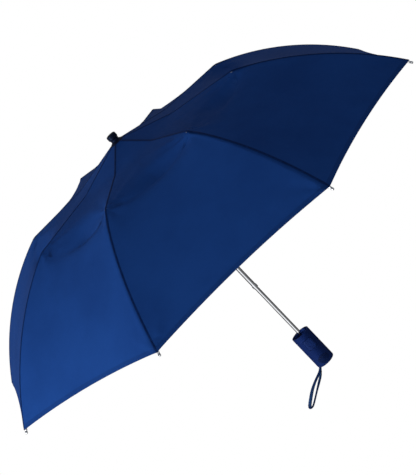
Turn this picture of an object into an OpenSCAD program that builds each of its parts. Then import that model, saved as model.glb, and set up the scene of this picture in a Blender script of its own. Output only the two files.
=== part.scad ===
// Folding umbrella: a two-section telescoping shaft, eight folding ribs, a gored canopy
// and a round grip with a wrist strap. The frame stands open, with +Z up the shaft
// and the origin at the middle of the grip.

/* [Canopy] */
// Radius from the shaft to the canopy's corners
canopy_r = 465; // [460:1:470]
// Height of the canopy's corners above the middle of the grip
corner_z = 287; // [286:1:288]
// Height of the canopy's crown above its corners
canopy_rise = 210; // [209:1:211]
// Thickness of the canopy cloth
cloth_t = 0.35; // [0.3:0.05:0.4]
// How far the hem curves in between two corners
hem_dip = 9; // [6:1:10]

/* [Ribs] */
// Length of the top rib from its hub pivot to the crossing pivot
top_rib_len = 106; // [105.5:0.5:106.5]
// Length of the stretcher's outer arm
outer_arm_len = 116; // [115.5:0.5:116.5]
// Slope of the top rib below the horizontal, in degrees
open_slope = 6; // [5.9:0.1:6.1]
// Downward bend of the stretcher at the crossing pivot, in degrees
stretcher_bend = 9; // [8.9:0.1:9.1]
// Width of the pressed steel rib channels
channel_w = 2.4; // [2.2:0.1:2.4]
// Wall thickness of the rib channels
channel_t = 0.5; // [0.4:0.1:0.5]

/* [Shaft] */
// Outer radius of the lower tube
lower_r = 3.5; // [3.45:0.05:3.5]
// Outer radius of the upper tube
upper_r = 4; // [4:0.05:4.05]
// Wall thickness of both tubes
tube_t = 0.4; // [0.3:0.05:0.4]
// Height of the upper tube's lower end
upper_tube_z = 147; // [146:1:148]
// Length of lower tube that stays inside the upper tube
tube_overlap = 45; // [40:1:50]

/* [Grip] */
// Outer radius of the grip
grip_r = 17.5; // [17:0.5:18]
// Length of the grip
grip_len = 69; // [68:1:70]
// Depth of the cup in the top of the grip
cup_depth = 11; // [9:0.5:11]
// Width of the release button
button_w = 17; // [15:1:18]
// Height of the release button
button_h = 20; // [18:1:21]

/* [Strap] */
// Diameter of the wrist strap's cord
strap_d = 4; // [3.6:0.1:4]

/* [Hidden] */
$fn = 48;

rib_count = 8;
rib_pitch = 360 / rib_count;
first_rib = 22.5;
function rib_angle(k) = first_rib + (k - 1) * rib_pitch;

// Frame pivots, as [radius, height] in the plane of a rib
pivot_r = 10;
hub_z = corner_z + canopy_rise - 22;
hub = [pivot_r, hub_z];
function polar(angle, length) = [length * cos(angle), length * sin(angle)];
crossing = hub + polar(-open_slope, top_rib_len);
elbow = crossing + polar(open_slope - stretcher_bend, outer_arm_len);
runner_z = hub_z - 2 * top_rib_len * sin(open_slope);
slider = [pivot_r, runner_z];
rib_tip = [canopy_r - 1.5, corner_z - 3.5];

// The outer rib is an arc through the elbow and the tip
rib_sag = 20;
tip_chord = norm(rib_tip - elbow);
rib_arc_r = pow(tip_chord, 2) / (8 * rib_sag) + rib_sag / 2;
chord_angle = atan2(rib_tip[1] - elbow[1], rib_tip[0] - elbow[0]);
half_arc = asin(tip_chord / (2 * rib_arc_r));
rib_start = chord_angle + half_arc;
arc_centre = elbow + polar(rib_start - 90, rib_arc_r);

// Pivots of the tie link that turns the outer rib
tie_inner = crossing + polar(-open_slope, 10);
tie_outer = elbow + polar(rib_start, 11);

// Channel, rivet and wire sizes
channel_h = 2.8;
slot_w = channel_w - 2 * channel_t;
link_w = 1;
link_h = 0.9;
link_pin_r = 0.35;
plate_t = 0.8;
plate_in = 1.5;
plate_h = 4;
slim_end = 26;
wire_r = 0.6;
pin_gap = 0.1;
rivet_r = 1;
rivet_gap = 0.05;
head_r = 1.7;
head_t = 0.5;
web_gap = 22;

// Grip and shaft heights
grip_top = grip_len / 2;
wall = 1.6;
core_r = grip_r - wall;
cup_floor = grip_top - cup_depth;
bush_len = 6;
bush_r = 4.7;
tube_clear = 0.05;
button_z = grip_top - 22;
tube_top = hub_z + 9;
crown_z = corner_z + canopy_rise;

navy = [0.09, 0.18, 0.42];
dark_navy = [0.05, 0.08, 0.2];
steel = [0.75, 0.76, 0.78];

// ---------- helpers ----------

// Lays a flat [radius, height] outline in the plane of rib k, w wide
module in_rib_plane(k, w) {
    rotate([0, 0, rib_angle(k)])
        rotate([90, 0, 0])
            linear_extrude(w, center = true)
                children();
}

// A cylinder across the plane of rib k at point p
module cross_pin(k, p, r, w) {
    rotate([0, 0, rib_angle(k)])
        translate([p[0], 0, p[1]])
            rotate([90, 0, 0])
                cylinder(r = r, h = w, center = true);
}

// A straight bar between two points, h high, square at its ends
module bar(p, q, h) {
    d = q - p;
    translate(p)
        rotate(atan2(d[1], d[0]))
            translate([0, -h / 2])
                square([norm(d), h]);
}

// A straight bar with round ends
module round_bar(p, q, h) {
    bar(p, q, h);
    translate(p) circle(d = h);
    translate(q) circle(d = h);
}

// A strip on one side of the line from p to q, between two offsets from it
module strip(p, q, low, high) {
    d = q - p;
    translate(p)
        rotate(atan2(d[1], d[0]))
            translate([0, low])
                square([norm(d), high - low]);
}

function along(p, q, distance) = p + (q - p) * distance / norm(q - p);

// Band of the outer rib's arc between two offsets from its centre line
module rib_band(low, high) {
    reach = 2 * rib_arc_r;
    intersection() {
        translate(arc_centre) difference() {
            circle(r = rib_arc_r + high, $fn = 360);
            circle(r = rib_arc_r + low, $fn = 360);
        }
        translate(arc_centre)
            polygon([[0, 0], polar(rib_start + 90, reach),
                     polar(rib_start + 90 - 2 * half_arc, reach)]);
    }
}

// ---------- grip ----------

module grip_shell() {
    round_r = 3.5;
    corner = [for (a = [-90:15:0]) [grip_r - round_r, -grip_top + round_r] + polar(a, round_r)];
    lip = [for (a = [0:30:90]) [grip_r - 0.8, grip_top - 0.8] + polar(a, 0.8)];
    color(navy) difference() {
        rotate_extrude($fn = 96)
            polygon(concat([[11, -grip_top]], corner, lip,
                           [[core_r, grip_top], [core_r, -grip_top + 3], [11, -grip_top + 3]]));
        button_cut(button_w + 0.6, button_h + 0.6, core_r - 4);
        strap_slot();
    }
}

// Rounded rectangular opening for the button, from depth y outwards
module button_cut(w, h, y) {
    r = 4;
    translate([0, -y, button_z])
        rotate([90, 0, 0])
            linear_extrude(20) {
                square([w - 2 * r, h], center = true);
                square([w, h - 2 * r], center = true);
                for (x = [-1, 1], z = [-1, 1])
                    translate([x * (w / 2 - r), z * (h / 2 - r)])
                        circle(r = r);
            }
}

// Slot at the foot of the grip where both ends of the strap go in
module strap_slot() {
    translate([-9, 0, -27.5])
        rotate([0, -45, 0])
            translate([-24, -5, -2.6])
                cube([24, 10, 5.2]);
}

module grip_core() {
    color(dark_navy) difference() {
        translate([0, 0, -grip_top + 3])
            cylinder(r = core_r, h = cup_floor + grip_top - 3, $fn = 96);
        translate([0, 0, -grip_top - 1])
            cylinder(r = lower_r, h = grip_len);
        translate([0, 0, -8])
            cylinder(r = bush_r + 0.5, h = grip_len);
        button_cut(button_w + 0.6, button_h + 0.6, 7.2);
        strap_slot();
    }
}

module cup_liner() {
    liner_t = 1.2;
    color(dark_navy) rotate_extrude($fn = 96)
        polygon([[bush_r + 0.5, cup_floor], [core_r, cup_floor], [core_r, grip_top - 0.6],
                 [core_r - liner_t, grip_top - 0.6], [core_r - liner_t, cup_floor + liner_t],
                 [bush_r + 0.5, cup_floor + liner_t]]);
}

module base_cap() {
    color(dark_navy) difference() {
        translate([0, 0, -grip_top + 0.6])
            cylinder(r = 11, h = 2.4);
        strap_slot();
    }
}

module lower_tube() {
    foot = -grip_top + 3;
    color(steel) translate([0, 0, foot]) difference() {
        cylinder(r = lower_r, h = upper_tube_z + tube_overlap - foot);
        translate([0, 0, -1])
            cylinder(r = lower_r - tube_t, h = 400);
    }
}

module strap_pin() {
    color(steel) translate([-9.6, 0, -28.1])
        rotate([90, 0, 0])
            cylinder(r = 1.2, h = 12, center = true);
}

// Centre line of the wrist strap's cord, from the pin round the loop and back
strap_route = [
    [-10.5, -2.3, -29], [-13.5, -2.3, -32], [-16.5, -2.6, -35.5], [-20.5, -3.2, -38.6],
    [-26, -3.9, -41], [-32, -4.5, -43.2], [-38.5, -5, -45.8], [-45, -5.2, -49],
    [-52, -5.3, -53], [-58.5, -5.2, -57.6], [-65, -4.7, -62.8], [-70.2, -3.8, -67.2],
    [-74.2, -2, -71.4], [-75.8, 0.4, -75], [-74.6, 2.8, -77.6], [-71.2, 4.6, -78],
    [-66.4, 5.2, -75.8], [-60.5, 5.3, -72], [-54, 5.3, -67.6], [-47.5, 5.2, -63.2],
    [-41, 5, -58.8], [-34.5, 4.6, -54.4], [-28.5, 4.1, -50.2], [-23.5, 3.5, -46],
    [-19.5, 2.9, -41.5], [-16.2, 2.5, -37.2], [-13, 2.3, -33], [-10.2, 2.3, -29.6]
];

function unit(v) = v / norm(v);
function heading(pts, i) = unit(pts[min(i + 1, len(pts) - 1)] - pts[max(i - 1, 0)]);

// A round tube along a list of points, closed at both ends
module swept_tube(pts, r, sides, up = [0, 1, 0.2]) {
    n = len(pts);
    rings = [for (i = [0:n - 1])
        let (t = heading(pts, i), a = unit(cross(t, up)), b = cross(t, a))
        for (j = [0:sides - 1]) pts[i] + r * (a * cos(360 * j / sides) + b * sin(360 * j / sides))];
    sides_list = [for (i = [0:n - 2], j = [0:sides - 1])
        let (m = (j + 1) % sides)
        [i * sides + j, i * sides + m, (i + 1) * sides + m, (i + 1) * sides + j]];
    caps = [[for (j = [sides - 1:-1:0]) j], [for (j = [0:sides - 1]) (n - 1) * sides + j]];
    polyhedron(rings, concat(sides_list, caps));
}

module wrist_strap() {
    color(navy) swept_tube(strap_route, strap_d / 2, 8);
}

// ---------- release button ----------

module release_button() {
    color(navy) intersection() {
        button_cut(button_w, button_h, 9.6);
        cylinder(r = grip_r + 1, h = 100, center = true, $fn = 96);
    }
}

module button_spring() {
    turns = 3;
    coil_r = 3;
    steps = 10 * turns;
    pts = [for (i = [0:steps])
        [coil_r * cos(36 * i), -7.35 - 2.1 * i / steps, button_z + coil_r * sin(36 * i)]];
    color(steel) swept_tube(pts, 0.12, 5, [0, 1, 0]);
}

// ---------- upper shaft ----------

module upper_tube() {
    foot = upper_tube_z + bush_len;
    color(steel) translate([0, 0, foot]) difference() {
        cylinder(r = upper_r, h = tube_top - foot);
        translate([0, 0, -1])
            cylinder(r = upper_r - tube_t, h = 500);
    }
}

module tube_bush() {
    color(steel) translate([0, 0, upper_tube_z]) difference() {
        cylinder(r = bush_r, h = bush_len);
        translate([0, 0, -1])
            cylinder(r = lower_r + tube_clear, h = bush_len + 2);
    }
}

spring_foot = upper_tube_z + tube_overlap;
seat_z = hub_z - 30;

module opening_spring() {
    turns = 20;
    steps = 10 * turns;
    wire = 0.45;
    pts = [for (i = [0:steps])
        [2.6 * cos(36 * i), 2.6 * sin(36 * i),
         spring_foot + wire + (seat_z - spring_foot - 2 * wire) * i / steps]];
    color(steel) swept_tube(pts, wire, 5, [0, 0, 1]);
}

module spring_seat() {
    color(steel) translate([0, 0, seat_z])
        cylinder(r = upper_r - tube_t, h = 5);
}

// Spring-steel catch that holds the runner up, in the wall of the upper tube
module runner_catch() {
    depth = 0.5;
    color(steel) rotate([0, 0, rib_angle(1) + rib_pitch / 2])
        translate([upper_r, -0.8, runner_z - 34])
            rotate([90, 0, 90])
                linear_extrude(depth)
                    polygon([[0, 0], [1.6, 0], [1.6, 5], [0, 5]]);
}

// Slots for the rib ends, cut out of a hub disc
module hub_slots(w, from_r, h) {
    for (k = [1:rib_count])
        rotate([0, 0, rib_angle(k)])
            translate([from_r, -w / 2, -h / 2])
                cube([20, w, h]);
}

// Straight lengths of wire round a hub, one square to each rib
module wire_ring(z) {
    side = 2 * pivot_r * tan(rib_pitch / 2);
    for (k = [1:rib_count])
        rotate([0, 0, rib_angle(k)])
            translate([pivot_r, 0, z])
                rotate([90, 0, 0])
                    cylinder(r = wire_r, h = side, center = true, $fn = 24);
}

module top_notch() {
    color(dark_navy) difference() {
        union() {
            translate([0, 0, hub_z - 4])
                cylinder(r = 13.5, h = 8);
            translate([0, 0, hub_z - 12])
                cylinder(r = 7, h = 20);
        }
        translate([0, 0, hub_z - 20])
            cylinder(r = upper_r, h = 60);
        translate([0, 0, hub_z])
            hub_slots(channel_w + 0.6, 7.6, 40);
        wire_ring(hub_z);
    }
}

module notch_wire() {
    color(steel) wire_ring(hub_z);
}

module ferrule_cap() {
    base = crown_z + 1.6;
    color(dark_navy) {
        rotate_extrude($fn = 64)
            polygon([[0, base - 0.6], [7.4, base - 0.6], [7.8, base + 3.4], [9, base + 4.6],
                     [9, base + 10.6], [8.2, base + 12], [6.6, base + 12.7], [0, base + 13]]);
        translate([0, 0, tube_top])
            cylinder(r = upper_r, h = base - tube_top);
    }
}

// Thin cone that clamps the canopy's crown under the ferrule cap
module ferrule_washer() {
    rise = crown_slope * (14 - upper_r);
    color(dark_navy) rotate_extrude($fn = 64)
        polygon([[upper_r, crown_z + 0.05], [14, crown_z + 0.05 - rise],
                 [14, crown_z + 0.75 - rise], [6.5, crown_z + 1], [upper_r, crown_z + 1]]);
}

// ---------- runner ----------

module runner() {
    slot_r = 7.8;
    color(dark_navy) translate([0, 0, runner_z]) difference() {
        union() {
            translate([0, 0, -2.5])
                cylinder(r = 14, h = 5);
            translate([0, 0, -30])
                cylinder(r = 7.2, h = 30);
            translate([0, 0, -30])
                cylinder(r = 8.5, h = 3);
        }
        translate([0, 0, -40])
            cylinder(r = upper_r + tube_clear, h = 60);
        hub_slots(2 * (plate_in + plate_t) + 0.8, slot_r, 20);
        wire_ring(0);
        // room for the catch below the sleeve
        rotate([0, 0, rib_angle(1) + rib_pitch / 2])
            translate([upper_r - 0.5, -1.3, -50])
                cube([1.4, 2.6, 60]);
    }
}

module runner_wire() {
    color(steel) wire_ring(runner_z);
}

// ---------- ribs ----------

module top_rib(k) {
    web_end = along(hub, crossing, top_rib_len - web_gap);
    color(steel) difference() {
        union() {
            difference() {
                in_rib_plane(k, channel_w)
                    round_bar(hub, tie_inner, channel_h);
                in_rib_plane(k, slot_w)
                    bar(along(hub, crossing, 4), tie_inner + polar(-open_slope, 4),
                        channel_h + 1);
            }
            in_rib_plane(k, channel_w)
                strip(along(hub, crossing, 3), web_end,
                      channel_h / 2 - channel_t, channel_h / 2);
            cross_pin(k, crossing, rivet_r, 2 * (plate_in + plate_t + head_t));
            for (side = [-1, 1])
                rivet_head(k, crossing, side);
            cross_pin(k, tie_inner, link_pin_r, channel_w);
        }
        cross_pin(k, hub, wire_r + pin_gap, channel_w + 2);
    }
}

// Rivet head just outside the stretcher's plates
module rivet_head(k, p, side) {
    offset_y = plate_in + plate_t + 0.1 + head_t / 2;
    rotate([0, 0, rib_angle(k)])
        translate([p[0], side * offset_y, p[1]])
            rotate([90, 0, 0])
                cylinder(r = head_r, h = head_t, center = true);
}

// One side plate of a stretcher, on the side given as -1 or 1. Its first part is slimmer, to
// pass the runner's wire as the frame folds.
module stretcher_plate(k, side) {
    eye_r = plate_h / 2 + 0.3;
    rotate([0, 0, rib_angle(k)])
        translate([0, side * (plate_in + plate_t / 2), 0])
            rotate([90, 0, 0])
                linear_extrude(plate_t, center = true) {
                    bar(along(slider, crossing, 4), along(slider, crossing, slim_end),
                        plate_h - 0.9);
                    bar(along(slider, crossing, slim_end - 1), crossing, plate_h);
                    bar(crossing, elbow, plate_h);
                    translate(crossing) circle(r = eye_r);
                    translate(elbow) circle(r = eye_r);
                }
}

// One web, a flat strip between the side plates that laps into both of them
module stretcher_web(k, p, q, low) {
    in_rib_plane(k, 2 * (plate_in + 0.3))
        strip(p, q, low, low + channel_t);
}

module stretcher(k) {
    edge = plate_h / 2 - 0.25;
    color(steel) difference() {
        union() {
            for (side = [-1, 1])
                stretcher_plate(k, side);
            stretcher_web(k, along(slider, crossing, slim_end),
                          along(slider, crossing, top_rib_len - web_gap), -edge);
            stretcher_web(k, along(crossing, elbow, web_gap + 6),
                          along(crossing, elbow, outer_arm_len - 5), edge - channel_t);
        }
        cross_pin(k, crossing, rivet_r + rivet_gap, 8);
        cross_pin(k, elbow, rivet_r + rivet_gap, 8);
    }
}

module outer_rib(k) {
    half_h = channel_h / 2;
    tip_angle = chord_angle - half_arc;
    color(steel) {
        difference() {
            in_rib_plane(k, channel_w) {
                rib_band(-half_h, half_h);
                translate(elbow) circle(d = channel_h);
            }
            in_rib_plane(k, slot_w)
                intersection() {
                    rib_band(-half_h - 1, half_h - channel_t);
                    translate(elbow) difference() {
                        circle(r = 400);
                        circle(r = 4);
                    }
                }
        }
        cross_pin(k, elbow, rivet_r, 2 * (plate_in + plate_t + head_t));
        for (side = [-1, 1])
            rivet_head(k, elbow, side);
        for (side = [-1, 1])
            rotate([0, 0, rib_angle(k)])
                translate([tie_outer[0], side * (channel_w / 2 + 0.15), tie_outer[1]])
                    rotate([90, 0, 0])
                        cylinder(r = 1, h = 0.3, center = true);
        // round-nosed tip that the canopy's corner is tied to
        rotate([0, 0, rib_angle(k)])
            translate([rib_tip[0], 0, rib_tip[1]])
                rotate([0, 90 - tip_angle, 0]) {
                    translate([0, 0, -8]) cylinder(r = 1.9, h = 11, $fn = 24);
                    translate([0, 0, 3]) sphere(r = 1.9, $fn = 24);
                }
    }
}

module tie_link(k) {
    color(steel) difference() {
        in_rib_plane(k, link_w) {
            round_bar(tie_inner, tie_outer, link_h);
            translate(tie_inner) circle(r = 2 * link_pin_r);
        }
        cross_pin(k, tie_inner, link_pin_r + rivet_gap, 4);
    }
}

// ---------- canopy ----------

// Seam line over a rib: straight to the crossing, straight to the elbow, then an arc
seam_start = [upper_r + 0.3, crown_z - 0.3];
seam_crossing = [108, corner_z + 184];
seam_elbow = [233.5, corner_z + 174.2];
seam_corner = [canopy_r, corner_z];
crown_slope = (seam_start[1] - seam_crossing[1]) / (seam_crossing[0] - seam_start[0]);
seam_chord = norm(seam_corner - seam_elbow);
seam_sag = 19.5;
seam_arc_r = pow(seam_chord, 2) / (8 * seam_sag) + seam_sag / 2;
seam_half = asin(seam_chord / (2 * seam_arc_r));
seam_tilt = atan2(seam_corner[1] - seam_elbow[1], seam_corner[0] - seam_elbow[0]);

function mix(p, q, t) = p + (q - p) * t;
function seam_arc(t) =
    let (a = seam_tilt + 90 + seam_half - 2 * seam_half * t)
    seam_elbow + polar(a, seam_arc_r) - polar(seam_tilt + 90 + seam_half, seam_arc_r);
// s runs 0 to 1 to the crossing, to 2 at the elbow and to 3 at the corner
function seam(s) = s <= 1 ? mix(seam_start, seam_crossing, s)
    : s <= 2 ? mix(seam_crossing, seam_elbow, s - 1) : seam_arc(s - 2);

function spin(p, a) = [p[0] * cos(a), p[0] * sin(a), p[1]];
// Point of panel k: s along the seam, v across from one rib to the next
function panel_point(k, s, v) =
    let (pull = s > 2 ? (s - 2) * hem_dip / seam_chord * 4 * v * (1 - v) : 0,
         p = seam(s - pull))
    mix(spin(p, rib_angle(k)), spin(p, rib_angle(k + 1)), v);

module canopy_panel(k) {
    rows = concat([0, 0.5, 1, 1.5], [for (i = [0:8]) 2 + i / 8]);
    cols = 6;
    n = len(rows);
    m = cols + 1;
    top = [for (s = rows, j = [0:cols]) panel_point(k, s, j / cols)];
    base = [for (p = top) p - [0, 0, cloth_t]];
    size = n * m;
    faces = concat(
        [for (i = [0:n - 2], j = [0:cols - 1]) let (a = i * m + j) each
            [[a, a + 1, a + m + 1], [a, a + m + 1, a + m]]],
        [for (i = [0:n - 2], j = [0:cols - 1]) let (a = size + i * m + j) each
            [[a, a + m + 1, a + 1], [a, a + m, a + m + 1]]],
        [for (j = [0:cols - 1]) [j + 1, j, size + j, size + j + 1]],
        [for (j = [0:cols - 1]) let (a = (n - 1) * m + j) [a, a + 1, size + a + 1, size + a]],
        [for (i = [0:n - 2]) let (a = i * m) [a, a + m, size + a + m, size + a]],
        [for (i = [0:n - 2]) let (a = i * m + cols) [a + m, a, size + a, size + a + m]]);
    color(navy) polyhedron(concat(top, base), faces);
}

// ---------- assembly ----------

grip_shell();
grip_core();
cup_liner();
base_cap();
lower_tube();
strap_pin();
wrist_strap();
release_button();
button_spring();
upper_tube();
tube_bush();
opening_spring();
spring_seat();
runner_catch();
top_notch();
notch_wire();
ferrule_cap();
ferrule_washer();
runner();
runner_wire();
for (k = [1:rib_count]) {
    top_rib(k);
    stretcher(k);
    outer_rib(k);
    tie_link(k);
    canopy_panel(k);
}
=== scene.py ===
"""Looks of the folding umbrella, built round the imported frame. Lengths are in metres."""

import math

import bmesh
import bpy
import numpy as np
from mathutils import Matrix, Vector


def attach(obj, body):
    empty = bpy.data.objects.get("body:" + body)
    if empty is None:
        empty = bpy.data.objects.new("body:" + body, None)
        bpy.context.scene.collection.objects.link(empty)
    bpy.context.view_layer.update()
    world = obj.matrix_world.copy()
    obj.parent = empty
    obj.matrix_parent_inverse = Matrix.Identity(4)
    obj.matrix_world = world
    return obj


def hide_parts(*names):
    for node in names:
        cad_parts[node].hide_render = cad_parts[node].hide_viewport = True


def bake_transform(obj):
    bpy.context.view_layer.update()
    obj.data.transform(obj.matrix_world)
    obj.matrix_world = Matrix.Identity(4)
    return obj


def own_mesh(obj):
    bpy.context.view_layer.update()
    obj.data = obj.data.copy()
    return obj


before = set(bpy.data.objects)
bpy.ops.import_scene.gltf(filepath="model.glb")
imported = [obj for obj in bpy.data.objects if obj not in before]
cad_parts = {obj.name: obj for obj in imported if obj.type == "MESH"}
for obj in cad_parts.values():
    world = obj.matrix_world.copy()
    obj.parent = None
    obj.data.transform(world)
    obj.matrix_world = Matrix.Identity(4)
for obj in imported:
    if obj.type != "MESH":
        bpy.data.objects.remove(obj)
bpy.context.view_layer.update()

MM = 0.001
RIBS = 8
PITCH = 2 * math.pi / RIBS

# ---------- the canopy's measures, as in the CAD model ----------

CORNER_Z = 0.287
CROWN_Z = CORNER_Z + 0.210
SEAM_START = np.array([0.0043, CROWN_Z - 0.0003])
SEAM_CROSSING = np.array([0.108, CORNER_Z + 0.184])
SEAM_ELBOW = np.array([0.2335, CORNER_Z + 0.1742])
SEAM_CORNER = np.array([0.465, CORNER_Z])
SEAM_SAG = 0.0195
HEM_DIP = 0.009
CLOTH_T = 0.00035
CHORD = float(np.linalg.norm(SEAM_CORNER - SEAM_ELBOW))
ARC_R = CHORD**2 / (8 * SEAM_SAG) + SEAM_SAG / 2
ARC_HALF = math.asin(CHORD / (2 * ARC_R))
ARC_TILT = math.atan2(*(SEAM_CORNER - SEAM_ELBOW)[::-1])
CROWN_SLOPE = (SEAM_START[1] - SEAM_CROSSING[1]) / (SEAM_CROSSING[0] - SEAM_START[0])
ELBOW = np.array([0.23126, 0.45785])
RIB_TIP = np.array([0.4635, 0.2835])
RIB_SAG = 0.020
BUTTON_Z = 0.0125
GRIP_TOP = 0.0345
GRIP_R = 0.0175

# ---------- looks that the CAD model doesn't have ----------

# how far the cloth's corners are rounded along the seam, at a rib and more in mid gore
SOFT = 0.02
SOFT_MIDDLE = 0.19
GORE_HOLLOW = 0.0045
ELBOW_TROUGH = 0.0112
# the crown's cloth ends here along the seam; the elbow's fold reaches this far past the elbow
CROWN_END = 0.42
FOLD = 0.103
SEAM_HALF = 0.0012
YARN = 0.00055
PATCH_W, PATCH_L = 0.024, 0.032
# side edge of an outer half gore from the middle of its rib, open and then folded
EDGE_OPEN = (-0.0877, 0.354)
EDGE_FOLDED = (-0.012, 0.062)
BRAID_PITCH = 0.011
STRANDS_EACH_WAY = 4

# centre line of the wrist strap, in millimetres, from the grip round the loop and back
STRAP_ROUTE = [
    (-10.5, -2.3, -29), (-13.5, -2.3, -32), (-16.5, -2.6, -35.5), (-20.5, -3.2, -38.6),
    (-26, -3.9, -41), (-32, -4.5, -43.2), (-38.5, -5, -45.8), (-45, -5.2, -49),
    (-52, -5.3, -53), (-58.5, -5.2, -57.6), (-65, -4.7, -62.8), (-70.2, -3.8, -67.2),
    (-74.2, -2, -71.4), (-75.8, 0.4, -75), (-74.6, 2.8, -77.6), (-71.2, 4.6, -78),
    (-66.4, 5.2, -75.8), (-60.5, 5.3, -72), (-54, 5.3, -67.6), (-47.5, 5.2, -63.2),
    (-41, 5, -58.8), (-34.5, 4.6, -54.4), (-28.5, 4.1, -50.2), (-23.5, 3.5, -46),
    (-19.5, 2.9, -41.5), (-16.2, 2.5, -37.2), (-13, 2.3, -33), (-10.2, 2.3, -29.6),
]
STRAP_D = 0.0046


def rib_angle(k):
    return PITCH / 2 + (k - 1) * PITCH


# ---------- camera ----------


def set_camera():
    """Camera of the photograph: long lens, a little above the horizon, rolled anticlockwise."""
    elevation, roll, distance = math.radians(11.941), math.radians(-43.709), 3.3436
    turn = Matrix.Rotation(math.radians(-0.71), 3, "Z")
    aim = Vector((-0.0003, 0, 0.2681))
    back = turn @ Vector((0, -math.cos(elevation), math.sin(elevation)))
    right = turn @ Vector((1, 0, 0))
    up = right.cross(-back)
    x = right * math.cos(roll) + up * math.sin(roll)
    y = -right * math.sin(roll) + up * math.cos(roll)
    camera = bpy.data.objects.new("camera", bpy.data.cameras.new("camera"))
    camera.data.sensor_width = 36
    camera.data.lens = 149.17642
    camera.data.clip_end = 50
    place = aim + back * distance
    camera.matrix_world = Matrix(
        [[x[i], y[i], back[i], place[i]] for i in range(3)] + [[0, 0, 0, 1]]
    )
    bpy.context.scene.collection.objects.link(camera)
    bpy.context.scene.camera = camera


set_camera()

# ---------- materials ----------


class Nodes:
    """A material's node tree, with short calls to add nodes and join them."""

    def __init__(self, name):
        self.m = bpy.data.materials.new(name)
        self.m.use_nodes = True
        self.tree = self.m.node_tree
        self.shader = self.tree.nodes["Principled BSDF"]

    def add(self, kind, **values):
        node = self.tree.nodes.new("ShaderNode" + kind)
        for key, value in values.items():
            setattr(node, key, value)
        return node

    def put(self, socket, value):
        """Joins a socket to another socket, or sets it to a value."""
        if isinstance(value, bpy.types.NodeSocket):
            self.tree.links.new(value, socket)
        else:
            socket.default_value = value

    def math(self, kind, a, b=0.0, clamp=False):
        node = self.add("Math", operation=kind, use_clamp=clamp)
        self.put(node.inputs[0], a)
        self.put(node.inputs[1], b)
        return node.outputs[0]

    def uv(self, name):
        node = self.add("UVMap", uv_map=name)
        split = self.add("SeparateXYZ")
        self.put(split.inputs[0], node.outputs[0])
        return node.outputs[0], split.outputs[0], split.outputs[1]

    def place(self):
        return self.add("TexCoord").outputs["Object"]

    def scaled(self, vector, scale):
        node = self.add("Mapping")
        self.put(node.inputs["Vector"], vector)
        self.put(node.inputs["Scale"], scale)
        return node.outputs[0]

    def noise(self, vector, scale, detail=3.0, rough=0.55):
        node = self.add("TexNoise")
        self.put(node.inputs["Vector"], vector)
        self.put(node.inputs["Scale"], scale)
        self.put(node.inputs["Detail"], detail)
        self.put(node.inputs["Roughness"], rough)
        return node.outputs["Fac"]

    def ramp(self, value, low, high, to_low=0.0, to_high=1.0):
        node = self.add("MapRange", interpolation_type="SMOOTHSTEP")
        for i, v in enumerate((value, low, high, to_low, to_high)):
            self.put(node.inputs[i], v)
        return node.outputs[0]

    def mix(self, share, a, b):
        node = self.add("Mix", data_type="RGBA")
        self.put(node.inputs[0], share)
        self.put(node.inputs[6], a)
        self.put(node.inputs[7], b)
        return node.outputs[2]

    def bump(self, height, distance, strength=1.0, below=None):
        node = self.add("Bump")
        self.put(node.inputs["Height"], height)
        self.put(node.inputs["Distance"], distance)
        self.put(node.inputs["Strength"], strength)
        if below is not None:
            self.put(node.inputs["Normal"], below)
        return node.outputs[0]

    def set(self, **values):
        for key, value in values.items():
            self.put(self.shader.inputs[key.replace("_", " ")], value)
        return self.m


def linear(r, g, b):
    """A colour given as 0-255 sRGB."""
    return tuple(
        (c / 255 / 12.92) if c <= 10 else ((c / 255 + 0.055) / 1.055) ** 2.4 for c in (r, g, b)
    ) + (1.0,)


NAVY = linear(28, 66, 133)
NAVY_DEEP = linear(24, 59, 122)
NAVY_DARK = linear(7, 20, 52)


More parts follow.
